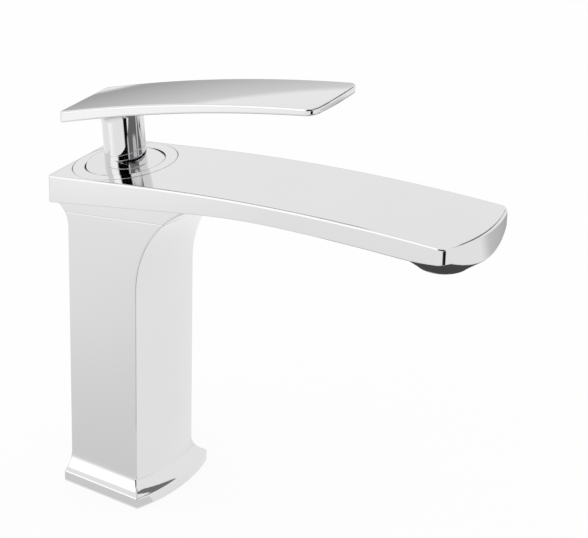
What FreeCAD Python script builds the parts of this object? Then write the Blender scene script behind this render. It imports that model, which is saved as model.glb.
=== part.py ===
import FreeCAD, Part
import math
import os

# Single-lever basin faucet: flared column, flat arched spout, lever on a ball.
# Millimetres. X points out along the spout, Z up, origin on the deck under the column.

Vector = FreeCAD.Vector

# Column and foot
column_width = 38.5
column_back = 16.8
column_front = 16.8
foot_width = 48.5
foot_front = 21.2
foot_bow = 4.0
foot_band = 4.5
foot_corner = 2.0
flare_height = 8.0
back_sweep_drop = 10.0
front_sweep_start = 95.7
front_sweep_radius = 50.2
front_sweep_angle = 66.0

# Spout slab
spout_width = 45.0
spout_reach = 162.0
spout_tail = 23.7
spout_bow = 4.7
spout_corner = 5.0
tail_corner = 1.0
tail_thickness = 11.6
spout_bend = 25.0
spout_angle = 10.0
tip_angle = 1.5
underside_angles = (12.2, 12.2, 5.5, 2.5, 16.0)
underside_station_shares = (0.278, 0.525, 0.858, 1.0)

# Rounding of the polished edges
edge_round = 0.8

# Place of the lever on the spout
ring_height = 140.8
ring_setback = 2.67

# Waterway in the spout
channel_cover = 2.3
channel_height = 2.5
channel_width = 20.0
channel_lead = 4.0
outlet_bore = 2.2

# Aerator and its bell
aerator_reach = 143.5
aerator_lip_radius = 10.2
aerator_lip_height = 0.6
aerator_thread_radius = 9.25
aerator_wall = 1.25
aerator_length = 9.6
aerator_floor = 141.4
aerator_gasket_height = 1.4
aerator_gasket_bore = 7.0
bell_end_radius = 10.8
bell_rim_radius = 27.0
bell_angles = (39.5, 37.0)
bell_root = 0.3
grid_height = 2.5
grid_recess = 0.6
grid_hole = 0.75
grid_pitch = 2.3
regulator_height = 3.0
regulator_hole = 0.9
regulator_holes = 8

# Hollow of the column and its threads
column_wall = 3.2
cavity_roof = 80.0
cavity_corner = 4.0
inlet_radius = 4.5
inlet_depth = 12.0
inlet_spread = 8.5
inlet_setback = 4.0
stud_radius = 3.4
stud_depth = 16.0
stud_forward = 8.0
supply_bore = 2.4

# Foot gasket
gasket_width = 2.6
gasket_height = 1.6
gasket_margin = 2.4
gasket_recess = 0.1

# Ball joint
pivot_depth = 6.5
disc_radius = 15.6
ball_wall = 1.6
ball_top = 2.0
ball_skirt_depth = 4.5
ball_gap = 0.45
neck_angle = 5.0

# Trim ring
ring_radius = 20.9
ring_thickness = 3.0
ring_seam = 0.2
ring_seal_width = 1.0
ring_seal_height = 1.2

# Handle
blade_width = 31.0
blade_reach = 96.0
blade_tail = 23.3
blade_bow = 1.0
blade_corner = 4.5
blade_tail_corner = 1.5
blade_tail_height = 161.8
blade_angles = (20.2, 10.7)
blade_tail_thickness = 5.0
blade_tip_thickness = 3.0
neck_radius = 8.4
neck_fillet = 4.0
socket_depth = 13.5
screw_radius = 2.4
screw_height = 6.5
screw_hex = 1.25
screw_hex_depth = 2.0
plug_depth = 1.3

# Spindle
spindle_square = 7.0
spindle_blade = 5.6
spindle_arm = 8.0
spindle_arm_width = 2.6
spindle_tip_radius = 1.9
spindle_block_drop = 3.0
pin_radius = 1.5

# Cartridge, depths counted from the ring plane
nut_top = 16.4
nut_height = 5.0
nut_radius = 15.5
nut_notch = 3.0
nut_notch_depth = 1.5
housing_top = 9.2
housing_roof = 1.8
housing_radius = 11.0
housing_wall = 1.4
flange_radius = 12.8
flange_height = 2.6
housing_seal_width = 1.0
housing_seal_height = 1.0
seat_depth = 29.6
rotor_radius = 6.8
rotor_flange_radius = 8.9
rotor_flange_height = 1.4
rotor_slot = 10.4
ear_rise = 3.0
ear_length = 6.0
ear_spread = 6.2
ear_root = 1.0
rotor_seal_depth = 0.7
rotor_seal_height = 1.0
carrier_radius = 6.8
carrier_height = 4.0
moving_disc_height = 3.0
mixing_recess = 1.2
fixed_disc_radius = 9.4
fixed_disc_height = 3.5
port_radius = 2.2
port_setback = 3.0
port_spread = 4.6
outlet_forward = 4.6
seal_radius = 3.8
seal_height = 1.2
chamber_radius = 14.4
chamber_height = 3.4
duct_knee = 17.6
duct_top = 26.0

# Clearances and the overrun of cuts
fit_gap = 0.05
slide_gap = 0.1
seat_gap = 0.1
travel_gap = 0.35
overrun = 1.0

# Widest lean of an edge that still counts as upright, least lean of a face that counts as flat
upright_share = 0.01
facing_share = 0.7


def tangent(angle):
    """Tangent of an angle in degrees."""
    return math.tan(math.radians(angle))


def sine(angle):
    """Sine of an angle in degrees."""
    return math.sin(math.radians(angle))


def cosine(angle):
    """Cosine of an angle in degrees."""
    return math.cos(math.radians(angle))


def bow_radius(chord, rise):
    """Radius of the arc that rises over a chord."""
    return (chord * chord / 4 + rise * rise) / (2 * rise)


def cylinder(radius, low, high, x=0, y=0):
    """Upright cylinder between two heights."""
    return Part.makeCylinder(radius, high - low, Vector(x, y, low))


def ring(outer, inner, low, high, x=0, y=0):
    """Upright ring between two heights."""
    hole = cylinder(inner, low - overrun, high + overrun, x, y)
    return cylinder(outer, low, high, x, y).cut(hole)


def block(x_low, x_high, width, low, high):
    """Box centred across Y."""
    return Part.makeBox(x_high - x_low, width, high - low, Vector(x_low, -width / 2, low))


def rod(start, end, radius):
    """Cylinder from one point to another."""
    run = end - start
    return Part.makeCylinder(radius, run.Length, start, run)


def slope_chain(start, stations, slopes):
    """Tangent arcs and lines in the XZ plane, from slope to slope at each station."""
    edges = []
    here = start
    for station, first, last in zip(stations, slopes, slopes[1:]):
        run = station - here.x
        end = here + Vector(run, 0, run * tangent((first + last) / 2))
        if first == last:
            edges.append(Part.LineSegment(here, end).toShape())
        else:
            middle = (first + last) / 2
            part_run = run * (sine(middle) - sine(first)) / (sine(last) - sine(first))
            rise = part_run * tangent((first + middle) / 2)
            edges.append(Part.Arc(here, here + Vector(part_run, 0, rise), end).toShape())
        here = end
    return edges, here


def across(edges, width):
    """Close a side profile and extrude it across Y, centred."""
    wire = Part.Wire(Part.__sortEdges__(edges))
    face = Part.Face(wire)
    face.translate(Vector(0, -width / 2, 0))
    return face.extrude(Vector(0, width, 0))


def turned(edges, foot):
    """Solid of revolution about the upright axis through a point."""
    solid = Part.Face(Part.Wire(edges)).revolve(foot, Vector(0, 0, 1), 360)
    if solid.Volume < 0:
        solid.reverse()
    return Part.Solid(solid)


def line(start, end):
    """Straight edge."""
    return Part.LineSegment(start, end).toShape()


def upright_edges(prism):
    """Edges of a prism that stand upright."""
    found = []
    for edge in prism.Edges:
        box = edge.BoundBox
        if box.XLength + box.YLength < upright_share * box.ZLength:
            found.append(edge)
    return found


def bowed_plan(back, front, width, rise, front_corner, back_corner, low, high):
    """Upright prism with a bowed front and rounded corners."""
    half = width / 2
    corner = front - rise
    middle = (front + back) / 2
    near = [Vector(corner, -half, low), Vector(back, -half, low)]
    points = near + [Vector(back, half, low), Vector(corner, half, low)]
    edges = [line(a, b) for a, b in zip(points, points[1:])]
    edges.append(Part.Arc(points[3], Vector(front, 0, low), points[0]).toShape())
    prism = Part.Face(Part.Wire(edges)).extrude(Vector(0, 0, high - low))
    fronts = [edge for edge in upright_edges(prism) if edge.CenterOfMass.x > middle]
    prism = prism.makeFillet(front_corner, fronts)
    backs = [edge for edge in upright_edges(prism) if edge.CenterOfMass.x < middle]
    return prism.makeFillet(back_corner, backs)


def rim_edges(solid, senses):
    """Outline edges of the upward faces of a slab, sense 1, or of its underside, sense -1."""
    found = []
    for sense in senses:
        faces = [face for face in solid.Faces if sense * middle_normal(face).z > facing_share]
        edges = [edge for face in faces for edge in face.Edges]
        found += [edge for edge in edges if len([other for other in edges if other.isSame(edge)]) == 1]
    return found


def middle_normal(face):
    """Outward normal at the middle of a face."""
    u_low, u_high, v_low, v_high = face.ParameterRange
    return face.normalAt((u_low + u_high) / 2, (v_low + v_high) / 2)


def to_ring(shape):
    """Place a cartridge shape, made with Z up from the ring plane, on the spout."""
    shape.rotate(Vector(), Vector(0, 1, 0), -spout_angle)
    shape.translate(Vector(-ring_setback, 0, ring_height))
    return shape


def ring_point(forward, sideways, depth):
    """Point given from the ring centre along the slab, across it and below it."""
    x = -ring_setback + forward * cosine(spout_angle) + depth * sine(spout_angle)
    z = ring_height + forward * sine(spout_angle) - depth * cosine(spout_angle)
    return Vector(x, sideways, z)


def to_neck(shape):
    """Place a handle shape, made with Z along the neck from the pivot, on the spout."""
    shape.rotate(Vector(), Vector(0, 1, 0), -neck_angle)
    shape.translate(ring_point(0, 0, pivot_depth))
    return shape


# Heights worked out along the spout
tail_height = ring_height - (spout_tail - ring_setback) * tangent(spout_angle)
bend_height = ring_height + (spout_bend + ring_setback) * tangent(spout_angle)
aerator_seat = aerator_floor + aerator_lip_height
thread_top = aerator_floor + aerator_length


def top_chain(back, drop, reach):
    """Top line of the spout from a place behind the bend, lowered by a drop."""
    start = Vector(back, 0, bend_height + (back - spout_bend) * tangent(spout_angle) - drop)
    share = (reach - spout_bend) / (spout_reach - spout_bend)
    last = sine(spout_angle) + share * (sine(tip_angle) - sine(spout_angle))
    slopes = (spout_angle, spout_angle, math.degrees(math.asin(last)))
    return start, slope_chain(start, (spout_bend, reach), slopes)


def underside_chain():
    """Underside of the spout from its tail to its tip."""
    start = Vector(-spout_tail, 0, tail_height - tail_thickness)
    stations = [share * spout_reach for share in underside_station_shares]
    return start, slope_chain(start, stations, underside_angles)


def spout_plan():
    """Plan outline of the spout as a tall prism."""
    high = ring_height + spout_reach
    corners = (spout_corner, tail_corner)
    return bowed_plan(-spout_tail, spout_reach, spout_width, spout_bow, *corners, 0, high)


def bell():
    """Swelling under the spout tip that carries the aerator."""
    foot = Vector(aerator_reach + bell_end_radius, 0, aerator_seat)
    flank, rim = slope_chain(foot, (aerator_reach + bell_rim_radius,), bell_angles)
    top = rim + Vector(0, 0, bell_root)
    axis_low = Vector(aerator_reach, 0, aerator_seat)
    axis_high = Vector(aerator_reach, 0, top.z)
    edges = [line(axis_low, foot)] + flank
    edges += [line(rim, top), line(top, axis_high), line(axis_high, axis_low)]
    return turned(edges, axis_low)


def spout_slab():
    """Arched slab with its bell, before any hollow is cut."""
    top_start, (top_edges, top_end) = top_chain(-spout_tail, 0, spout_reach)
    low_start, (low_edges, low_end) = underside_chain()
    ends = [line(top_start, low_start), line(top_end, low_end)]
    plan = spout_plan()
    slab = across(top_edges + low_edges + ends, spout_width + overrun).common(plan).Solids[0]
    slab = slab.makeFillet(edge_round, rim_edges(slab, (1,)))
    return slab.fuse(bell().common(plan))


def column_front_solid(top):
    """Round-fronted solid: foot band, flare, shaft and the sweep up to the spout."""
    band = bow_radius(foot_width, foot_bow)
    axis_x = foot_front + foot_bow - band
    shaft = math.hypot(column_front - axis_x, column_width / 2)
    flare_run = band - shaft
    flare_top = foot_band + flare_height
    flare = bow_radius(2 * flare_height, flare_run)
    turn = math.asin(flare_height / flare) / 2
    sweep_run = front_sweep_radius * (1 - cosine(front_sweep_angle))
    half_turn = front_sweep_angle / 2
    foot = [Vector(axis_x, 0, 0), Vector(axis_x + band, 0, 0)]
    outline = foot + [Vector(axis_x + band, 0, foot_band)]
    flare_end = Vector(axis_x + shaft, 0, flare_top)
    flare_middle = flare_end + Vector(flare * (1 - math.cos(turn)), 0, -flare * math.sin(turn))
    sweep_low = Vector(axis_x + shaft, 0, front_sweep_start)
    bend_run = front_sweep_radius * (1 - cosine(half_turn))
    sweep_bend = Vector(bend_run, 0, front_sweep_radius * sine(half_turn))
    sweep_end = Vector(sweep_low.x + sweep_run, 0, top)
    axis_top = Vector(axis_x, 0, top)
    edges = [line(a, b) for a, b in zip(outline, outline[1:])]
    edges.append(Part.Arc(outline[2], flare_middle, flare_end).toShape())
    edges.append(line(flare_end, sweep_low))
    edges.append(Part.Arc(sweep_low, sweep_low + sweep_bend, sweep_end).toShape())
    edges.append(line(sweep_end, axis_top))
    edges.append(line(axis_top, outline[0]))
    return turned(edges, outline[0])


def column_side_solid(reach):
    """Side limits of the column: flat back with its top sweep, up into the slab."""
    run = spout_tail - column_back
    low_z = tail_height - tail_thickness
    sweep = bow_radius(2 * back_sweep_drop, run)
    turn = math.asin(back_sweep_drop / sweep) / 2
    start = Vector(-column_back, 0, low_z - back_sweep_drop)
    bend = start + Vector(-sweep * (1 - math.cos(turn)), 0, sweep * math.sin(turn))
    tail = Vector(-spout_tail, 0, low_z)
    rise = tail_thickness / 2
    slab_middle = Vector(-spout_tail, 0, low_z + rise)
    far = Vector(reach, 0, low_z + rise + (reach + spout_tail) * tangent(underside_angles[0]))
    corner = Vector(reach, 0, 0)
    edges = [line(Vector(-column_back, 0, 0), start), Part.Arc(start, bend, tail).toShape()]
    edges += [line(tail, slab_middle), line(slab_middle, far), line(far, corner)]
    edges.append(line(corner, Vector(-column_back, 0, 0)))
    return across(edges, foot_width + overrun)


def column_width_solid(top, reach):
    """Front view of the column, flared at the foot, extruded along X."""
    half = column_width / 2
    foot = foot_width / 2
    run = foot - half
    flare = bow_radius(2 * flare_height, run)
    turn = math.asin(flare_height / flare) / 2
    bend_y = half + flare * (1 - math.cos(turn))
    bend_z = foot_band + flare_height - flare * math.sin(turn)
    edges = [line(Vector(-spout_tail, -foot, 0), Vector(-spout_tail, foot, 0))]
    for side in (-1, 1):
        low = Vector(-spout_tail, side * foot, foot_band)
        high = Vector(-spout_tail, side * half, foot_band + flare_height)
        edges.append(line(Vector(-spout_tail, side * foot, 0), low))
        edges.append(Part.Arc(low, Vector(-spout_tail, side * bend_y, bend_z), high).toShape())
        edges.append(line(high, Vector(-spout_tail, side * half, top)))
    edges.append(line(Vector(-spout_tail, -half, top), Vector(-spout_tail, half, top)))
    face = Part.Face(Part.Wire(Part.__sortEdges__(edges)))
    return face.extrude(Vector(reach + spout_tail, 0, 0))


def column_solid():
    """Column with its foot, before any hollow is cut."""
    top = front_sweep_start + front_sweep_radius * sine(front_sweep_angle)
    reach = column_front + front_sweep_radius
    solid = column_front_solid(top).common(column_side_solid(reach))
    solid = solid.common(column_width_solid(top, reach)).Solids[0]
    return solid.makeFillet(edge_round, column_edges(solid))


def column_edges(solid):
    """Corner edges of the column and the top edges of its foot band."""
    highest = tail_height - tail_thickness - overrun
    found = []
    for edge in solid.Edges:
        box = edge.BoundBox
        corner = abs(edge.CenterOfMass.y) > column_width / 3 and box.ZLength > foot_band / 2
        rim = box.ZLength < edge_round and abs(box.ZMax - foot_band) < edge_round
        if box.ZMin < highest and (corner or rim):
            found.append(edge)
    return found


def cavity():
    """Hollow that the supply hoses and the fixing stud go into."""
    width = column_width - 2 * column_wall
    low_x = -column_back + column_wall
    high_x = column_front - column_wall
    hollow = block(low_x, high_x, width, -overrun, cavity_roof)
    return hollow.makeFillet(cavity_corner, upright_edges(hollow))


def threads_and_supplies():
    """Inlet threads, the stud thread and the bores up to the cartridge seat."""
    cuts = [cylinder(stud_radius, cavity_roof - overrun, cavity_roof + stud_depth, stud_forward)]
    for side in (-1, 1):
        y = side * inlet_spread
        top = cavity_roof + inlet_depth
        cuts.append(cylinder(inlet_radius, cavity_roof - overrun, top, -inlet_setback, y))
        port = ring_point(-port_setback, side * port_spread, seat_depth - overrun)
        cuts.append(rod(Vector(-inlet_setback, y, top - overrun), port, supply_bore))
    return cuts


def cartridge_bores():
    """Stepped bore for ring, ball, nut and cartridge, with the outlet chamber."""
    ball = math.hypot(disc_radius, pivot_depth)
    chamber_top = flange_bottom()
    steps = [
        cylinder(ring_radius + ring_seam, -ring_thickness, ring_thickness + overrun),
        cylinder(ball + ball_gap, -nut_top, overrun),
        cylinder(nut_radius + seat_gap, -nut_top - nut_height, overrun),
        cylinder(flange_radius + seat_gap, -seat_depth, overrun),
        cylinder(chamber_radius, -chamber_top - chamber_height, -chamber_top - seat_gap),
    ]
    return [to_ring(step) for step in steps]


def flange_bottom():
    """Depth of the underside of the housing flange."""
    return nut_top + nut_height + flange_height


def outlet_ducts():
    """Way of the mixed water from the chamber up into the spout channel."""
    depth = flange_bottom() + chamber_height / 2
    start = ring_point(flange_radius, 0, depth)
    knee = ring_point(duct_knee, 0, depth)
    top = ring_point(duct_top, 0, channel_cover + channel_height)
    bends = [Part.makeSphere(outlet_bore, knee), Part.makeSphere(outlet_bore, top)]
    return [rod(start, knee, outlet_bore), rod(knee, top, outlet_bore)] + bends


def spout_channel():
    """Flat waterway along the spout, with the aerator's stepped bore at its end."""
    back = spout_bend - channel_lead
    high_start, (high_edges, high_end) = top_chain(back, channel_cover, aerator_reach)
    low_cover = channel_cover + channel_height
    low_start, (low_edges, low_end) = top_chain(back, low_cover, aerator_reach)
    ends = [line(high_start, low_start), line(high_end, low_end)]
    channel = across(high_edges + low_edges + ends, channel_width)
    seat = thread_top + aerator_gasket_height
    bore = cylinder(aerator_thread_radius + fit_gap, aerator_floor - overrun, seat, aerator_reach)
    way_top = low_end.z + channel_height / 2
    way = cylinder(aerator_gasket_bore, seat - overrun, way_top, aerator_reach)
    return [channel, bore, way]


def gasket_loop(outer_margin, low, high):
    """Prism inside the foot's outline by a margin."""
    back = -column_back + outer_margin
    front = foot_front + foot_bow - outer_margin
    width = foot_width - 2 * outer_margin
    return bowed_plan(back, front, width, foot_bow, foot_corner, foot_corner, low, high)


def foot_gasket(low):
    """Elastic ring let into the foot, also its groove."""
    outer = gasket_loop(gasket_margin, low, gasket_height)
    inner = gasket_loop(gasket_margin + gasket_width, low - overrun, gasket_height + overrun)
    return outer.cut(inner)


def body_castings():
    """Column and spout, brazed at a plane below the ball and hollowed."""
    body = spout_slab().fuse(column_solid()).removeSplitter()
    cuts = [cavity(), foot_gasket(-overrun)]
    cuts += threads_and_supplies() + cartridge_bores() + outlet_ducts() + spout_channel()
    body = body.cut(cuts)
    reach = column_front + front_sweep_radius
    below = to_ring(block(-reach, reach, 2 * foot_width, -2 * ring_height, -nut_top))
    return body.common(below), body.cut(below)


def trim_ring():
    """Flush ring with a ball-shaped hole and a groove for its seal."""
    blank = cylinder(ring_radius, -ring_thickness, 0)
    ball = math.hypot(disc_radius, pivot_depth)
    hole = Part.makeSphere(ball + ball_gap, Vector(0, 0, -pivot_depth))
    low = -(ring_thickness + ring_seal_height) / 2
    high = low + ring_seal_height
    inner = ring_radius - ring_seal_width
    groove = ring(ring_radius + overrun, inner, low, high)
    seal = ring(ring_radius + ring_seam, inner, low, high)
    return to_ring(blank.cut([hole, groove])), to_ring(seal)


def cartridge_nut():
    """Brass nut with four spanner notches that holds the cartridge down."""
    blank = ring(nut_radius, housing_radius + seat_gap, -nut_top - nut_height, -nut_top)
    low = -nut_top - nut_notch_depth
    notch = block(-nut_radius, nut_radius, nut_notch, low, -nut_top + overrun)
    other = notch.copy()
    other.rotate(Vector(), Vector(0, 0, 1), 90)
    return to_ring(blank.cut([notch, other]))


def cartridge_housing():
    """Plastic housing: roof, wall and the flange that the nut presses on."""
    low = -flange_bottom()
    shell = cylinder(housing_radius, low, -housing_top)
    shell = shell.fuse(cylinder(flange_radius, low, -nut_top - nut_height))
    roof = -housing_top - housing_roof
    shell = shell.cut(cylinder(housing_radius - housing_wall, low - overrun, roof))
    shell = shell.cut(cylinder(rotor_radius + fit_gap, roof - overrun, overrun))
    middle = low + flange_height / 2
    low_side = middle - housing_seal_height / 2
    high_side = middle + housing_seal_height / 2
    groove = ring(flange_radius + overrun, flange_radius - housing_seal_width, low_side, high_side)
    seal = ring(flange_radius + seat_gap, flange_radius - housing_seal_width, low_side, high_side)
    return to_ring(shell.cut(groove)), to_ring(seal)


def disc_levels():
    """Depths of the tops of carrier, moving disc, fixed disc and of the disc stack's foot."""
    carrier = housing_top + housing_roof + rotor_flange_height + 2 * slide_gap + fit_gap
    moving = carrier + carrier_height
    fixed = moving + moving_disc_height
    return carrier, moving, fixed, fixed + fixed_disc_height


def ports(low, high):
    """Hot and cold inlet bores."""
    sides = (-port_spread, port_spread)
    return [cylinder(port_radius, low, high, -port_setback, y) for y in sides]


def fixed_ceramic_disc():
    """Lower ceramic disc with two inlets and one outlet."""
    carrier, moving, fixed, foot = disc_levels()
    disc = cylinder(fixed_disc_radius, -foot, -fixed)
    holes = ports(-foot - overrun, -fixed + overrun)
    holes.append(cylinder(port_radius, -foot - overrun, -fixed + overrun, outlet_forward))
    return to_ring(disc.cut(holes))


def cartridge_base():
    """Base plate with inlet ports, a side outlet and two seal pockets."""
    carrier, moving, fixed, foot = disc_levels()
    bottom = -seat_depth
    base = cylinder(flange_radius, bottom, -flange_bottom())
    base = base.fuse(cylinder(fixed_disc_radius, bottom, -foot))
    holes = ports(bottom - overrun, -foot + overrun)
    window_low = -flange_bottom() - chamber_height
    holes.append(cylinder(port_radius, window_low, -foot + overrun, outlet_forward))
    window_top = -flange_bottom() - overrun
    window_end = flange_radius + overrun
    holes.append(block(outlet_forward, window_end, 2 * port_radius, window_low, window_top))
    for y in (-port_spread, port_spread):
        top = bottom + seal_height
        holes.append(cylinder(seal_radius, bottom - overrun, top, -port_setback, y))
    return to_ring(base.cut(holes))


def port_seals():
    """Two elastic rings under the inlet ports."""
    bottom = -seat_depth
    levels = (bottom, bottom + seal_height)
    rings = [ring(seal_radius, port_radius, *levels, -port_setback, y) for y in (-port_spread, port_spread)]
    return to_ring(Part.makeCompound(rings))


def cartridge_rotor():
    """Turning fork that carries the spindle on its pin, with the groove of its seal."""
    flange_top = -housing_top - housing_roof - slide_gap
    flange_low = flange_top - rotor_flange_height
    neck_top = -pivot_depth - ear_root
    rotor = cylinder(rotor_radius, flange_low, neck_top)
    rotor = rotor.fuse(cylinder(rotor_flange_radius, flange_low, flange_top))
    ear_top = -pivot_depth + ear_rise
    ears = block(-ear_length / 2, ear_length / 2, 2 * ear_spread, neck_top - overrun, ear_top)
    rotor = rotor.fuse(ears.common(cylinder(rotor_radius, flange_low, overrun)))
    slot_width = spindle_blade + 2 * slide_gap
    slot_end = rotor_slot / 2
    rotor = rotor.cut(block(-slot_end, slot_end, slot_width, flange_low - overrun, overrun))
    rotor = rotor.cut(pin_along(pin_radius, 2 * rotor_radius))
    low, high = rotor_seal_span()
    groove = ring(rotor_radius + overrun, rotor_radius - rotor_seal_depth, low, high)
    seal = ring(rotor_radius, rotor_radius - rotor_seal_depth, low, high)
    return to_ring(rotor.cut(groove)), to_ring(seal)


def rotor_seal_span():
    """Heights of the rotor seal inside the housing roof."""
    middle = -housing_top - housing_roof / 2
    return middle - rotor_seal_height / 2, middle + rotor_seal_height / 2


def pin_along(radius, length):
    """Cylinder along Y through the pivot, in ring coordinates."""
    start = Vector(0, -length / 2, -pivot_depth)
    return Part.makeCylinder(radius, length, start, Vector(0, 1, 0))


def pivot_pin():
    """Steel pin pressed into the fork's ears."""
    return to_ring(pin_along(pin_radius, 2 * ear_spread - 2 * ear_root))


def disc_carrier():
    """Plastic carrier that the spindle tip pushes."""
    carrier, moving, fixed, foot = disc_levels()
    blank = cylinder(carrier_radius, -moving, -carrier)
    shift = -spindle_arm * sine(spout_angle - neck_angle)
    blank.translate(Vector(shift, 0, 0))
    reach = spindle_tip_radius + travel_gap
    width = spindle_blade + 2 * slide_gap
    slot = block(shift - reach, shift + reach, width, -moving - overrun, -carrier + overrun)
    return to_ring(blank.cut(slot))


def moving_ceramic_disc():
    """Upper ceramic disc with the mixing recess in its underside."""
    carrier, moving, fixed, foot = disc_levels()
    disc = cylinder(carrier_radius, -fixed, -moving)
    recess = cylinder(outlet_forward, -fixed - overrun, -fixed + mixing_recess)
    disc = disc.cut(recess)
    disc.translate(Vector(-spindle_arm * sine(spout_angle - neck_angle), 0, 0))
    return to_ring(disc)


def ball_skirt():
    """Ball with a flat top and an open underside, round the pivot."""
    radius = math.hypot(disc_radius, pivot_depth)
    ball = Part.makeSphere(radius)
    ball = ball.common(block(-radius, radius, 2 * radius, -ball_skirt_depth, pivot_depth))
    hollow = Part.makeSphere(radius - ball_wall)
    hollow = hollow.common(block(-radius, radius, 2 * radius, -radius, pivot_depth - ball_top))
    square = spindle_square + 2 * fit_gap
    hole = block(-square / 2, square / 2, square, 0, pivot_depth + overrun)
    return to_neck(ball.cut([hollow, hole]))


def lever_spindle():
    """Square spindle with a flat blade, a pin hole and a rounded lower tip."""
    half = spindle_square / 2
    square = block(-half, half, spindle_square, pivot_depth - ball_top, pivot_depth + socket_depth)
    blade = block(-half, half, spindle_blade, -spindle_block_drop, pivot_depth)
    arm_side = spindle_arm_width / 2
    arm = block(-arm_side, arm_side, spindle_blade, -spindle_arm, 0)
    tip_end = Vector(0, spindle_blade / 2, -spindle_arm)
    tip = rod(Vector(0, -tip_end.y, tip_end.z), tip_end, spindle_tip_radius)
    spindle = square.fuse([blade, arm, tip]).removeSplitter()
    eye = rod(Vector(0, -spindle_square, 0), Vector(0, spindle_square, 0), pin_radius + fit_gap)
    return to_neck(spindle.cut(eye))


def blade_profile():
    """Top and bottom edges of the blade, with their ends."""
    start = Vector(-blade_tail, 0, blade_tail_height)
    top_edges, top_end = slope_chain(start, (blade_reach,), blade_angles)
    low_start = start - Vector(0, 0, blade_tail_thickness)
    low_end = top_end - Vector(0, 0, blade_tip_thickness)
    chord_slope = math.degrees(math.atan2(low_end.z - low_start.z, low_end.x - low_start.x))
    half_turn = (blade_angles[0] - blade_angles[1]) / 2
    slopes = (chord_slope + half_turn, chord_slope - half_turn)
    low_edges, low_end = slope_chain(low_start, (blade_reach,), slopes)
    return start, top_edges, top_end, low_start, low_edges, low_end


def blade_solid():
    """Arched lever blade that thins towards its tip."""
    start, top_edges, top_end, low_start, low_edges, low_end = blade_profile()
    ends = [line(start, low_start), line(top_end, low_end)]
    high = blade_tail_height + blade_reach
    corners = (blade_corner, blade_tail_corner)
    plan = bowed_plan(-blade_tail, blade_reach, blade_width, blade_bow, *corners, 0, high)
    blade = across(top_edges + low_edges + ends, blade_width + overrun).common(plan).Solids[0]
    return blade.makeFillet(edge_round, rim_edges(blade, (1, -1)))


def neck_solid():
    """Round neck from the disc up into the blade."""
    start, top_edges, top_end, low_start, low_edges, low_end = blade_profile()
    lift = Vector(0, 0, blade_tip_thickness / 2)
    for edge in low_edges:
        edge.translate(lift)
    low_start = low_start + lift
    low_end = low_end + lift
    floor_back = Vector(low_start.x, 0, 0)
    floor_front = Vector(low_end.x, 0, 0)
    walls = [line(low_start, floor_back), line(floor_back, floor_front), line(floor_front, low_end)]
    below = across(low_edges + walls, blade_width)
    length = blade_tail_height - ring_height + blade_tail
    return to_neck(cylinder(neck_radius, pivot_depth, pivot_depth + length)).common(below)


def neck_seam(solid):
    """Edges where the round neck runs into the blade."""
    floor = ring_height + socket_depth
    reach = blade_width / 2 - blade_corner
    found = []
    for edge in solid.Edges:
        box = edge.BoundBox
        if box.ZMin > floor and box.YMax < reach and box.YMin > -reach and box.XMax < reach:
            found.append(edge)
    return found


def screw_bore(radius, inner, outer):
    """Cylinder along the back of the neck, at the screw's height."""
    start = Vector(-inner, 0, pivot_depth + screw_height)
    return Part.makeCylinder(radius, outer - inner, start, Vector(-1, 0, 0))


def lever_handle():
    """Blade and neck in one casting, with the spindle socket and the screw hole."""
    casting = blade_solid().fuse(neck_solid()).removeSplitter()
    casting = casting.makeFillet(neck_fillet, neck_seam(casting))
    square = spindle_square + 2 * fit_gap
    top = pivot_depth + socket_depth + seat_gap
    socket = to_neck(block(-square / 2, square / 2, square, pivot_depth - overrun, top))
    bore = to_neck(screw_bore(screw_radius + fit_gap, 0, neck_radius + overrun))
    return casting.cut([socket, bore])


def grub_screw():
    """Socket screw in the back of the neck that grips the spindle."""
    outer = neck_radius - plug_depth
    screw = screw_bore(screw_radius, spindle_square / 2, outer)
    key = screw_bore(screw_hex, outer - screw_hex_depth, outer + overrun)
    return to_neck(screw.cut(key))


def screw_plug():
    """Plug that closes the screw hole flush with the neck."""
    plug = screw_bore(screw_radius, neck_radius - plug_depth, neck_radius + overrun)
    return to_neck(plug.common(cylinder(neck_radius, 0, pivot_depth + socket_depth)))


def aerator_shell():
    """Threaded shell with a lip below the bell."""
    shell = cylinder(aerator_thread_radius, aerator_floor, thread_top, aerator_reach)
    shell = shell.fuse(cylinder(aerator_lip_radius, aerator_floor, aerator_seat, aerator_reach))
    bore = cylinder(aerator_bore(), aerator_floor - overrun, thread_top + overrun, aerator_reach)
    return shell.cut(bore)


def aerator_bore():
    """Inner radius of the aerator shell."""
    return aerator_thread_radius - aerator_wall


def aerator_gasket():
    """Elastic ring between the aerator and its seat."""
    top = thread_top + aerator_gasket_height
    return ring(aerator_thread_radius, aerator_gasket_bore, thread_top, top, aerator_reach)


def flow_regulator():
    """Disc with a ring of jets at the top of the aerator."""
    low = thread_top - regulator_height
    disc = cylinder(aerator_bore(), low, thread_top, aerator_reach)
    jets = []
    for index in range(regulator_holes):
        angle = 360 * index / regulator_holes
        x = aerator_reach + aerator_bore() / 2 * cosine(angle)
        y = aerator_bore() / 2 * sine(angle)
        jets.append(cylinder(regulator_hole, low - overrun, thread_top + overrun, x, y))
    return disc.cut(jets)


def aerator_grid():
    """Outlet grid: a disc with a hexagonal field of holes."""
    low = aerator_floor + grid_recess
    disc = cylinder(aerator_bore(), low, low + grid_height, aerator_reach)
    rings = int((aerator_bore() - grid_hole) / grid_pitch)
    top = low + grid_height + overrun
    holes = [cylinder(grid_hole, low - overrun, top, aerator_reach)]
    for index in range(1, rings + 1):
        for step in range(6 * index):
            angle = 60 * step / index
            x = aerator_reach + index * grid_pitch * cosine(angle)
            y = index * grid_pitch * sine(angle)
            holes.append(cylinder(grid_hole, low - overrun, top, x, y))
    return disc.cut(holes)


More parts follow.
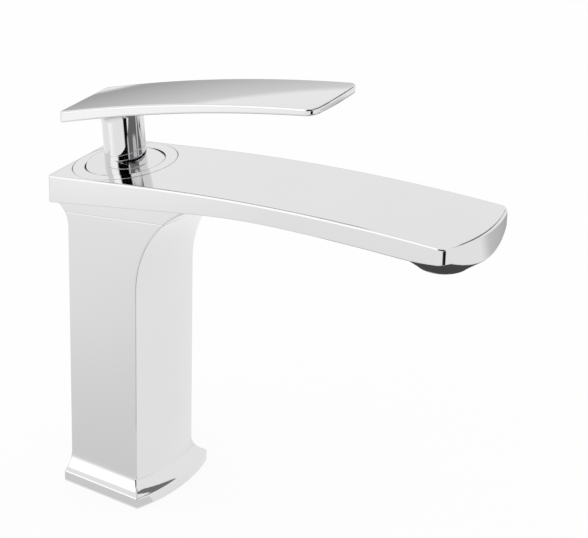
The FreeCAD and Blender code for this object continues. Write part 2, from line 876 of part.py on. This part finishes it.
def main():
    """Write every sub-part to its own file."""
    column, spout = body_castings()
    ring_piece, ring_seal = trim_ring()
    housing, housing_seal = cartridge_housing()
    rotor, rotor_seal = cartridge_rotor()
    parts = {
        "column_casting": column,
        "spout_casting": spout,
        "foot_gasket": foot_gasket(gasket_recess),
        "trim_ring": ring_piece,
        "trim_ring_seal": ring_seal,
        "cartridge_nut": cartridge_nut(),
        "cartridge_housing": housing,
        "housing_seal": housing_seal,
        "cartridge_base": cartridge_base(),
        "port_seals": port_seals(),
        "fixed_ceramic_disc": fixed_ceramic_disc(),
        "cartridge_rotor": rotor,
        "rotor_seal": rotor_seal,
        "pivot_pin": pivot_pin(),
        "disc_carrier": disc_carrier(),
        "moving_ceramic_disc": moving_ceramic_disc(),
        "lever_handle": lever_handle(),
        "ball_skirt": ball_skirt(),
        "lever_spindle": lever_spindle(),
        "grub_screw": grub_screw(),
        "screw_plug": screw_plug(),
        "aerator_shell": aerator_shell(),
        "aerator_gasket": aerator_gasket(),
        "flow_regulator": flow_regulator(),
        "aerator_grid": aerator_grid(),
    }
    os.makedirs("parts", exist_ok=True)
    for name, shape in parts.items():
        shape.exportStep("parts/" + name + ".step")
        print(name, len(shape.Solids), round(shape.Volume, 1), shape.isValid())


main()
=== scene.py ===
import logging
import math
from dataclasses import dataclass
from enum import Enum
from typing import Any

import bpy
from mathutils import Matrix, Vector

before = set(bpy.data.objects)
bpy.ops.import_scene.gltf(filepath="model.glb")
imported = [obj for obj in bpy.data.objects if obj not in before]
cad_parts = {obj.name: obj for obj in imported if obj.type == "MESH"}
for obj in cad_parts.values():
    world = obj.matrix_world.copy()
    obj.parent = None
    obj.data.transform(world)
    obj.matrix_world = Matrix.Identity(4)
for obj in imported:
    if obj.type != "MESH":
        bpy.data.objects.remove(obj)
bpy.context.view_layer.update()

Point = tuple[float, float, float]
MM = 0.001
# Least share of a card that a fade takes, so that a fade of zero is a sharp edge.
SHARP_FADE = 0.001
log = logging.getLogger("faucet")


class Ray(Enum):
    """Kinds of ray that a surface of the studio is shown to."""

    CAMERA = "Is Camera Ray"
    GLOSSY = "Is Glossy Ray"
    TRANSMISSION = "Is Transmission Ray"


class Tone(Enum):
    """Greys of the studio, from white to black. Three of them are painted shade and shadow seen in the
    plating: on the near floor by the foot, on the floor behind the foot, and under the spout.
    """

    WHITE = "#FFFFFF"
    PALE_FAR_FLOOR = "#E8E8E8"
    PALE_WALL = "#E6E6E6"
    # Painted shade of the faucet on the near floor, by its foot
    PAINTED_SHADE_BY_FOOT = "#E2E2E2"
    WALL = "#A2A2A2"
    FAR_FLOOR = "#949494"
    GREY = "#7C7C7C"
    # Painted shade under the spout
    PAINTED_SHADE_UNDER_SPOUT = "#484848"
    # Painted shadow on the floor behind the foot
    PAINTED_FOOT_SHADOW = "#303030"
    WEDGE = "#101010"
    NECK_LINE = "#0C0C0C"
    BLACK = "#050505"


def linear(code: str) -> tuple[float, float, float, float]:
    """Turn an sRGB hex colour into linear light.

    Args:
        code: Colour as "#RRGGBB".
    Returns:
        Linear red, green, blue and an alpha of 1.
    """
    values = [int(code[i:i + 2], 16) / 255 for i in (1, 3, 5)]
    red, green, blue = [v / 12.92 if v <= 0.04045 else ((v + 0.055) / 1.055) ** 2.4 for v in values]
    return red, green, blue, 1.0


def add_node(tree: bpy.types.NodeTree, kind: str, links: dict[Any, bpy.types.NodeSocket] | None = None,
             values: dict[Any, Any] | None = None, **settings: Any) -> bpy.types.Node:
    """Add one node with its settings, socket values and links.

    Args:
        tree: Node tree to add to.
        kind: Blender's node type.
        links: Input name or index to the socket that feeds it.
        values: Input name or index to a constant.
        settings: Attributes of the node.
    Returns:
        The new node.
    """
    node = tree.nodes.new(kind)
    for name, value in settings.items():
        setattr(node, name, value)
    for name, value in (values or {}).items():
        node.inputs[name].default_value = value
    for name, socket in (links or {}).items():
        tree.links.new(socket, node.inputs[name])
    return node


def new_material(name: str) -> tuple[bpy.types.Material, bpy.types.NodeTree]:
    """Make an empty node material.

    Args:
        name: Name of the real material.
    Returns:
        The material and its node tree.
    """
    material = bpy.data.materials.new(name)
    material.use_nodes = True
    material.node_tree.nodes.clear()
    return material, material.node_tree


def per_metre(size_mm: float) -> float:
    """Noise scale whose features have a given size.

    Args:
        size_mm: Size of a feature, in millimetres.
    Returns:
        Scale for the noise node, whose coordinates are metres.
    """
    return 1.0 / (size_mm * MM)


@dataclass(frozen=True)
class ChromePlate:
    """Polished brass castings under nickel and chromium: a cool mirror with softened edges.

    A crown bends the normals across Y as a faint round of the given radius would. Zero leaves them flat.
    """

    name: str = "polished_chromium_plate"
    colour: str = "#E3E3E4"
    cloud_colour: str = "#DEDEDF"
    cloud_mm: float = 55.0
    cloud_detail: float = 2.0
    polish_mm: float = 0.6
    polish_detail: float = 1.0
    polish_depth_mm: float = 0.0012
    polish_strength: float = 0.15
    edge_mm: float = 0.55
    edge_samples: int = 8
    roughness: float = 0.035
    roughness_spread: float = 0.03
    crown_mm: float = 0.0

    def crown(self, tree: bpy.types.NodeTree, place: bpy.types.NodeSocket,
              normal: bpy.types.NodeSocket) -> bpy.types.NodeSocket:
        """Add the faint crown that buffing leaves across a wide flat.

        Args:
            tree: Node tree to add to.
            place: Object coordinates.
            normal: Normal to bend.
        Returns:
            Socket with the bent normal.
        """
        across = add_node(tree, "ShaderNodeSeparateXYZ", {0: place}).outputs[1]
        square = add_node(tree, "ShaderNodeMath", {0: across, 1: across}, operation="MULTIPLY").outputs[0]
        height = add_node(tree, "ShaderNodeMath", {0: square}, {1: -2.0 * self.crown_mm * MM},
                          operation="DIVIDE").outputs[0]
        bump = add_node(tree, "ShaderNodeBump", {"Height": height, "Normal": normal},
                        {"Strength": 1.0, "Distance": 1.0})
        return bump.outputs["Normal"]

    def material(self) -> bpy.types.Material:
        """Build the plating: mirror, faint clouding, buffing marks and rounded edges.

        Returns:
            The material.
        """
        material, tree = new_material(self.name)
        place = add_node(tree, "ShaderNodeTexCoord").outputs["Object"]
        cloud = add_node(tree, "ShaderNodeTexNoise", {"Vector": place},
                         {"Scale": per_metre(self.cloud_mm), "Detail": self.cloud_detail}).outputs["Fac"]
        colour = add_node(tree, "ShaderNodeMix", {"Factor": cloud}, data_type="RGBA")
        colour.inputs["A"].default_value = linear(self.colour)
        colour.inputs["B"].default_value = linear(self.cloud_colour)
        gloss = add_node(tree, "ShaderNodeMapRange", {"Value": cloud},
                         {"To Min": self.roughness, "To Max": self.roughness + self.roughness_spread})
        normal = add_node(tree, "ShaderNodeBevel", values={"Radius": self.edge_mm * MM},
                          samples=self.edge_samples).outputs["Normal"]
        if self.crown_mm:
            normal = self.crown(tree, place, normal)
        buffing = add_node(tree, "ShaderNodeTexNoise", {"Vector": place},
                           {"Scale": per_metre(self.polish_mm), "Detail": self.polish_detail})
        bump = add_node(tree, "ShaderNodeBump", {"Height": buffing.outputs["Fac"], "Normal": normal},
                        {"Strength": self.polish_strength, "Distance": self.polish_depth_mm * MM})
        shader = add_node(tree, "ShaderNodeBsdfPrincipled",
                          {"Base Color": colour.outputs["Result"], "Roughness": gloss.outputs["Result"],
                           "Normal": bump.outputs["Normal"]}, {"Metallic": 1.0})
        add_node(tree, "ShaderNodeOutputMaterial", {"Surface": shader.outputs["BSDF"]})
        return material


@dataclass(frozen=True)
class PlainFinish:
    """A hidden or small piece's material: two tones of grain, a roughness range and a fine bump."""

    name: str
    colour: str
    second_colour: str
    grain_mm: float
    metallic: float
    roughness: float
    roughness_spread: float
    bump_mm: float
    bump_strength: float = 0.3
    grain_detail: float = 3.0

    def material(self) -> bpy.types.Material:
        """Build the material from its grain.

        Returns:
            The material.
        """
        material, tree = new_material(self.name)
        place = add_node(tree, "ShaderNodeTexCoord").outputs["Object"]
        grain = add_node(tree, "ShaderNodeTexNoise", {"Vector": place},
                         {"Scale": per_metre(self.grain_mm), "Detail": self.grain_detail})
        colour = add_node(tree, "ShaderNodeMix", {"Factor": grain.outputs["Fac"]}, data_type="RGBA")
        colour.inputs["A"].default_value = linear(self.colour)
        colour.inputs["B"].default_value = linear(self.second_colour)
        gloss = add_node(tree, "ShaderNodeMapRange", {"Value": grain.outputs["Fac"]},
                         {"To Min": self.roughness, "To Max": self.roughness + self.roughness_spread})
        bump = add_node(tree, "ShaderNodeBump", {"Height": grain.outputs["Fac"]},
                        {"Strength": self.bump_strength, "Distance": self.bump_mm * MM})
        shader = add_node(tree, "ShaderNodeBsdfPrincipled",
                          {"Base Color": colour.outputs["Result"], "Roughness": gloss.outputs["Result"],
                           "Normal": bump.outputs["Normal"]}, {"Metallic": self.metallic})
        add_node(tree, "ShaderNodeOutputMaterial", {"Surface": shader.outputs["BSDF"]})
        return material


# Chromium over polished brass: a clear, faintly cool mirror that takes its greys from the studio.
POLISHED_CHROME = ChromePlate()
# The same plating on the lever's blade, which buffing has left faintly crowned.
CROWNED_CHROME = ChromePlate("crowned_chromium_plate", crown_mm=300.0)
# Machined brass: warm yellow metal with turning marks.
MACHINED_BRASS = PlainFinish("machined_brass", "#B99348", "#A88340", 0.5, 1.0, 0.22, 0.15, 0.01)
# Stainless steel, turned and tumbled: grey metal with a dull sheen.
TURNED_STEEL = PlainFinish("turned_stainless_steel", "#9C9DA0", "#8C8D90", 0.4, 1.0, 0.25, 0.15, 0.008)
# Nitrile rubber, moulded: near black and matt.
NITRILE_RUBBER = PlainFinish("moulded_nitrile_rubber", "#161616", "#202020", 0.3, 0.0, 0.55, 0.2, 0.01)
# Acetal, moulded: off-white with a satin skin.
ACETAL = PlainFinish("moulded_acetal", "#DCDBD6", "#D2D1CB", 0.6, 0.0, 0.35, 0.15, 0.006)
# Alumina ceramic, lapped flat: dense white with a soft gloss.
ALUMINA = PlainFinish("lapped_alumina_ceramic", "#EEECE6", "#E6E3DB", 0.3, 0.0, 0.12, 0.08, 0.002)
# ABS of the outlet grid, moulded: mid grey with a fine satin grain.
GRID_ABS = PlainFinish("moulded_grid_abs", "#9EA0A3", "#8F9194", 0.3, 0.0, 0.35, 0.15, 0.005)


def dress(nodes: tuple[str, ...], material: bpy.types.Material) -> None:
    """Give CAD nodes a material in their slots.

    Args:
        nodes: Names of the nodes.
        material: What they are made of.
    """
    for name in nodes:
        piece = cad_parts[name]
        for slot in piece.material_slots:
            slot.link = "OBJECT"
            slot.material = material
        log.info("%s in %s", name, material.name)


@dataclass
class FaucetBody:
    """Column, spout, ring and what is sealed in the foot."""

    plated: tuple[str, ...] = ("column_casting", "spout_casting", "trim_ring", "aerator_shell")
    seals: tuple[str, ...] = ("foot_gasket", "trim_ring_seal", "aerator_gasket")
    outlet: tuple[str, ...] = ("aerator_grid", "flow_regulator")

    def dress(self, chrome: bpy.types.Material, rubber: bpy.types.Material,
              plastic: bpy.types.Material) -> None:
        """Plate the castings and finish the seals and the outlet.

        Args:
            chrome: Plating of the castings.
            rubber: Seals.
            plastic: Outlet grid and regulator.
        """
        dress(self.plated, chrome)
        dress(self.seals, rubber)
        dress(self.outlet, plastic)


@dataclass
class Cartridge:
    """Mixing cartridge under the ball."""

    moulded: tuple[str, ...] = ("cartridge_housing", "cartridge_base", "cartridge_rotor", "disc_carrier")
    discs: tuple[str, ...] = ("fixed_ceramic_disc", "moving_ceramic_disc")
    seals: tuple[str, ...] = ("housing_seal", "port_seals", "rotor_seal")
    nut: tuple[str, ...] = ("cartridge_nut",)
    pin: tuple[str, ...] = ("pivot_pin",)

    def dress(self, rubber: bpy.types.Material, steel: bpy.types.Material) -> None:
        """Finish the cartridge's pieces.

        Args:
            rubber: Seals.
            steel: Pivot pin.
        """
        dress(self.moulded, ACETAL.material())
        dress(self.discs, ALUMINA.material())
        dress(self.nut, MACHINED_BRASS.material())
        dress(self.seals, rubber)
        dress(self.pin, steel)


@dataclass
class Lever:
    """Blade, neck, ball and the spindle that they turn."""

    plated: tuple[str, ...] = ("lever_handle", "ball_skirt", "screw_plug")
    steel: tuple[str, ...] = ("lever_spindle", "grub_screw")

    def dress(self, chrome: bpy.types.Material, steel: bpy.types.Material) -> None:
        """Plate the lever and finish its spindle.

        Args:
            chrome: Plating of blade and ball.
            steel: Spindle and screw.
        """
        dress(self.plated, chrome)
        dress(self.steel, steel)


@dataclass(frozen=True)
class Card:
    """One reflector card of the studio: its front is seen in the plating, and never by the camera.

    Its first two corners are its low edge and its last two its high edge, anticlockwise as its front is seen.
    Its tone runs from the low edge to the high edge. Each fade is the share of the card over which it turns
    clear: side_fade towards its two sides, and end_fade towards its low and high edges.
    """

    name: str
    corners_mm: tuple[Point, ...]
    low_tone: Tone
    high_tone: Tone
    side_fade: float = 0.0
    end_fade: float = 0.0
    strength: float = 1.0
    lights: bool = False

    def fade(self, tree: bpy.types.NodeTree, along: bpy.types.NodeSocket,
             share: float) -> bpy.types.NodeSocket:
        """Add the fade towards two opposite sides.

        Args:
            tree: Node tree to add to.
            along: Coordinate from 0 to 1 across the card.
            share: Part of the card that each fade takes.
        Returns:
            Socket that is 0 on the sides and 1 in the middle.
        """
        inside = add_node(tree, "ShaderNodeMath", {0: along}, {1: 0.5}, operation="PINGPONG")
        faded = add_node(tree, "ShaderNodeMapRange", {"Value": inside.outputs[0]},
                         {"From Max": max(share, SHARP_FADE)}, interpolation_type="SMOOTHSTEP")
        return faded.outputs["Result"]

    def material(self) -> bpy.types.Material:
        """Build the card's tone, with a clear back.

        Returns:
            The material.
        """
        material, tree = new_material(self.name + "_tone")
        place = add_node(tree, "ShaderNodeTexCoord").outputs["UV"]
        split = add_node(tree, "ShaderNodeSeparateXYZ", {0: place})
        tone = add_node(tree, "ShaderNodeMix", {"Factor": split.outputs[1]}, data_type="RGBA")
        tone.inputs["A"].default_value = linear(self.low_tone.value)
        tone.inputs["B"].default_value = linear(self.high_tone.value)
        light = add_node(tree, "ShaderNodeEmission", {"Color": tone.outputs["Result"]},
                         {"Strength": self.strength})
        clear = add_node(tree, "ShaderNodeBsdfTransparent")
        mask = add_node(tree, "ShaderNodeMath",
                        {0: self.fade(tree, split.outputs[0], self.side_fade),
                         1: self.fade(tree, split.outputs[1], self.end_fade)}, operation="MULTIPLY")
        mixed = add_node(tree, "ShaderNodeMixShader",
                         {0: mask.outputs[0], 1: clear.outputs[0], 2: light.outputs[0]})
        back = add_node(tree, "ShaderNodeNewGeometry").outputs["Backfacing"]
        shown = add_node(tree, "ShaderNodeMixShader", {0: back, 1: mixed.outputs[0], 2: clear.outputs[0]})
        add_node(tree, "ShaderNodeOutputMaterial", {"Surface": shown.outputs[0]})
        return material

    def build(self) -> None:
        """Set the card up in the studio."""
        mesh = bpy.data.meshes.new(self.name)
        mesh.from_pydata([tuple(v * MM for v in corner) for corner in self.corners_mm], [], [(0, 1, 2, 3)])
        layer = mesh.uv_layers.new(name="card")
        for loop, place in zip(layer.data, ((0, 0), (1, 0), (1, 1), (0, 1))):
            loop.uv = place
        mesh.materials.append(self.material())
        card = bpy.data.objects.new(self.name, mesh)
        bpy.context.scene.collection.objects.link(card)
        card.visible_camera = False
        card.visible_shadow = False
        card.visible_diffuse = self.lights


def standing(turn: float, distance: float, width: float, low: float, high: float) -> tuple[Point, ...]:
    """Corners of a card that stands facing the column.

    Args:
        turn: Direction of its middle from the column, in degrees from +X.
        distance: From the column to its middle, in millimetres.
        width: Its width.
        low: Height of its lower edge.
        high: Height of its upper edge.
    Returns:
        Its four corners.
    """
    angle = math.radians(turn)
    x, y = distance * math.cos(angle), distance * math.sin(angle)
    side_x, side_y = -math.sin(angle) * width / 2, math.cos(angle) * width / 2
    left = (x + side_x, y + side_y)
    right = (x - side_x, y - side_y)
    return (*left, low), (*right, low), (*right, high), (*left, high)


def lying(height: float, *places: tuple[float, float]) -> tuple[Point, ...]:
    """Corners of a level card, which faces up where they run anticlockwise from above.

    Args:
        height: Its height, in millimetres.
        places: X and Y of its corners in turn, with its low edge first.
    Returns:
        Its four corners.
    """
    return tuple((x, y, height) for x, y in places)


# Heights of the level cards, in millimetres: three layers just over the floor, and one lower than the spout
# for the painted shade under it.
FLOOR_LEVEL = 0.6
SECOND_LEVEL = 0.7
THIRD_LEVEL = 0.8
OUTLET_LEVEL = 106

CARDS = (
    # A soft box on the near left, the only card that also lights matt surfaces
    Card("near_left_box", standing(turn=237, distance=620, width=520, low=10, high=760),
         Tone.WHITE, Tone.WHITE, side_fade=0.12, end_fade=0.12, strength=1.45, lights=True),
    # A dark gap on the camera's side
    Card("camera_gap", standing(turn=-70, distance=640, width=800, low=60, high=900),
         Tone.BLACK, Tone.BLACK, side_fade=0.14, end_fade=0.06),
    # Grey cards higher than the faucet, at its right and on its far side
    Card("right_grey", standing(turn=-8, distance=150, width=170, low=204, high=330),
         Tone.GREY, Tone.GREY, side_fade=0.04, end_fade=0.06),
    Card("far_grey", standing(turn=56, distance=260, width=300, low=290, high=430),
         Tone.GREY, Tone.GREY, side_fade=0.04, end_fade=0.06),
    # A dark wedge of floor on the camera's side. It overlaps near_floor_painted_shade in one plane, and the renderer settles
    # which of the two is seen, so adding or taking out any card can shift that.
    Card("corner_line", lying(FLOOR_LEVEL, (40, -60), (449, -580), (900, -556), (60, -40)),
         Tone.WEDGE, Tone.WEDGE, side_fade=0.02, end_fade=0.1),
    # This card faces down, so nothing shows it. It stays because taking it out shifts what corner_line shows.
    Card("neck_line", lying(SECOND_LEVEL, (-20, -380), (-20, -288), (190, -180), (330, -300)),
         Tone.NECK_LINE, Tone.NECK_LINE, side_fade=0.02, end_fade=0.1),
    # A grey strip of floor to the right
    Card("right_floor", lying(SECOND_LEVEL, (215, -215), (340, -230), (340, 150), (235, 150)),
         Tone.GREY, Tone.GREY, side_fade=0.05, end_fade=0.05),
    # Near floor with painted shade, seen in the plating: it darkens towards the foot, where the faucet's shade
    # falls
    Card("near_floor_painted_shade", lying(FLOOR_LEVEL, (-200, -300), (330, -300), (330, -16), (-200, -16)),
         Tone.WHITE, Tone.PAINTED_SHADE_BY_FOOT, side_fade=0.35),
    # Painted light: a brighter pool of floor on the near left, where the soft box lights it, seen in the
    # plating
    Card("painted_light_pool_floor", lying(THIRD_LEVEL, (-480, -460), (-70, -460), (-70, -190), (-480, -190)),
         Tone.WHITE, Tone.WHITE, side_fade=0.4, end_fade=0.35, strength=1.2),
    # Painted shadow: a dark patch of floor on the far side of the foot, where the faucet's contact shadow
    # falls
    Card("painted_shadow_far_floor", lying(THIRD_LEVEL, (-60, 30), (5, 30), (-60, 150), (-140, 150)),
         Tone.PAINTED_FOOT_SHADOW, Tone.PAINTED_FOOT_SHADOW, side_fade=0.08, end_fade=0.05),
    # Floor on the far side that darkens towards the back of the faucet
    Card("tip_floor", lying(FLOOR_LEVEL, (450, 225), (450, 420), (-40, 420), (-40, 225)),
         Tone.PALE_FAR_FLOOR, Tone.FAR_FLOOR, side_fade=0.3),
    # A grey wall far behind, and the floor in front of it
    Card("behind", standing(turn=128, distance=1500, width=1500, low=0, high=440),
         Tone.WALL, Tone.PALE_WALL, side_fade=0.1, end_fade=0.12),
    Card("behind_foot", lying(FLOOR_LEVEL, (-539, 263), (-125, 587), (-312, 1467), (-1348, 658)),
         Tone.WALL, Tone.WALL, side_fade=0.05, end_fade=0.05),
    # Painted shade: dark level cards lower than the spout, under it and on its far side, where the faucet's
    # shade falls
    Card("painted_shade_below_spout", lying(OUTLET_LEVEL, (80, -35), (215, -35), (215, 52), (80, 52)),
         Tone.PAINTED_SHADE_UNDER_SPOUT, Tone.PAINTED_SHADE_UNDER_SPOUT, side_fade=0.05, end_fade=0.05),
    Card("painted_shade_below_bell", lying(OUTLET_LEVEL, (40, 48), (138, 48), (138, 120), (40, 120)),
         Tone.PAINTED_SHADE_UNDER_SPOUT, Tone.PAINTED_SHADE_UNDER_SPOUT, side_fade=0.05, end_fade=0.05),
)


@dataclass
class Studio:
    """Pale floor, soft light, reflector cards and the camera."""

    floor_mm: float = 6000.0
    floor_colour: str = "#F4F4F4"
    white_share: float = 0.9
    turn: float = 33.404
    pitch: float = 27.406
    roll: float = 1.601
    distance_mm: float = 986.4
    aim_mm: Point = (78.48, 0.0, 118.11)
    lens_mm: float = 157.74
    sensor_mm: float = 36.0

    def shown_ray(self, tree: bpy.types.NodeTree) -> bpy.types.NodeSocket:
        """Add the test for rays that see the white background.

        Args:
            tree: Node tree to add to.
        Returns:
            Socket that is 1 for camera, glossy and transmission rays.
        """
        path = add_node(tree, "ShaderNodeLightPath")
        total = path.outputs[Ray.CAMERA.value]
        for ray in (Ray.GLOSSY, Ray.TRANSMISSION):
            total = add_node(tree, "ShaderNodeMath", {0: total, 1: path.outputs[ray.value]},
                             operation="MAXIMUM").outputs[0]
        return total

    def world(self) -> None:
        """Light the room evenly with white."""
        world = bpy.data.worlds.new("studio_tent")
        bpy.context.scene.world = world
        world.use_nodes = True
        tree = world.node_tree
        tree.nodes.clear()
        light = add_node(tree, "ShaderNodeBackground",
                         values={"Color": linear(Tone.WHITE.value), "Strength": 1.0})
        add_node(tree, "ShaderNodeOutputWorld", {"Surface": light.outputs[0]})

    def floor(self) -> None:
        """Lay the floor, white where it is seen, with the faucet's soft shadow."""
        half = self.floor_mm / 2
        mesh = bpy.data.meshes.new("floor")
        corners = lying(0, (-half, -half), (half, -half), (half, half), (-half, half))
        mesh.from_pydata([tuple(v * MM for v in corner) for corner in corners], [], [(0, 1, 2, 3)])
        floor = bpy.data.objects.new("floor", mesh)
        bpy.context.scene.collection.objects.link(floor)
        material, tree = new_material("studio_paper")
        paper = add_node(tree, "ShaderNodeBsdfDiffuse", values={"Color": linear(self.floor_colour)})
        white = add_node(tree, "ShaderNodeEmission",
                         values={"Color": linear(Tone.WHITE.value), "Strength": 1.0})
        part = add_node(tree, "ShaderNodeMath", {0: self.shown_ray(tree)}, {1: self.white_share},
                        operation="MULTIPLY")
        mixed = add_node(tree, "ShaderNodeMixShader",
                         {0: part.outputs[0], 1: paper.outputs[0], 2: white.outputs[0]})
        add_node(tree, "ShaderNodeOutputMaterial", {"Surface": mixed.outputs[0]})
        mesh.materials.append(material)

    def camera(self) -> None:
        """Set the camera at the photograph's place."""
        turn, pitch, roll = (math.radians(v) for v in (self.turn, self.pitch, self.roll))
        back = Vector((math.sin(turn) * math.cos(pitch), -math.cos(turn) * math.cos(pitch), math.sin(pitch)))
        level = Vector((math.cos(turn), math.sin(turn), 0))
        raised = back.cross(level)
        right = level * math.cos(roll) + raised * math.sin(roll)
        up = raised * math.cos(roll) - level * math.sin(roll)
        data = bpy.data.cameras.new("camera")
        data.lens = self.lens_mm
        data.sensor_width = self.sensor_mm
        data.sensor_fit = "HORIZONTAL"
        camera = bpy.data.objects.new("camera", data)
        place = (Vector(self.aim_mm) + back * self.distance_mm) * MM
        axes = Matrix((right, up, back)).transposed()
        camera.matrix_world = Matrix.Translation(place) @ axes.to_4x4()
        bpy.context.scene.collection.objects.link(camera)
        bpy.context.scene.camera = camera

    def build(self) -> None:
        """Set up the whole studio."""
        bpy.context.scene.view_settings.view_transform = "Standard"
        self.world()
        self.floor()
        for card in CARDS:
            card.build()
        self.camera()


def main() -> None:
    """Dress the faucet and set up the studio."""
    logging.basicConfig(level=logging.INFO, format="%(name)s: %(message)s")
    rubber = NITRILE_RUBBER.material()
    steel = TURNED_STEEL.material()
    FaucetBody().dress(POLISHED_CHROME.material(), rubber, GRID_ABS.material())
    Cartridge().dress(rubber, steel)
    Lever().dress(CROWNED_CHROME.material(), steel)
    Studio().build()


if __name__ == "__main__":
    main()
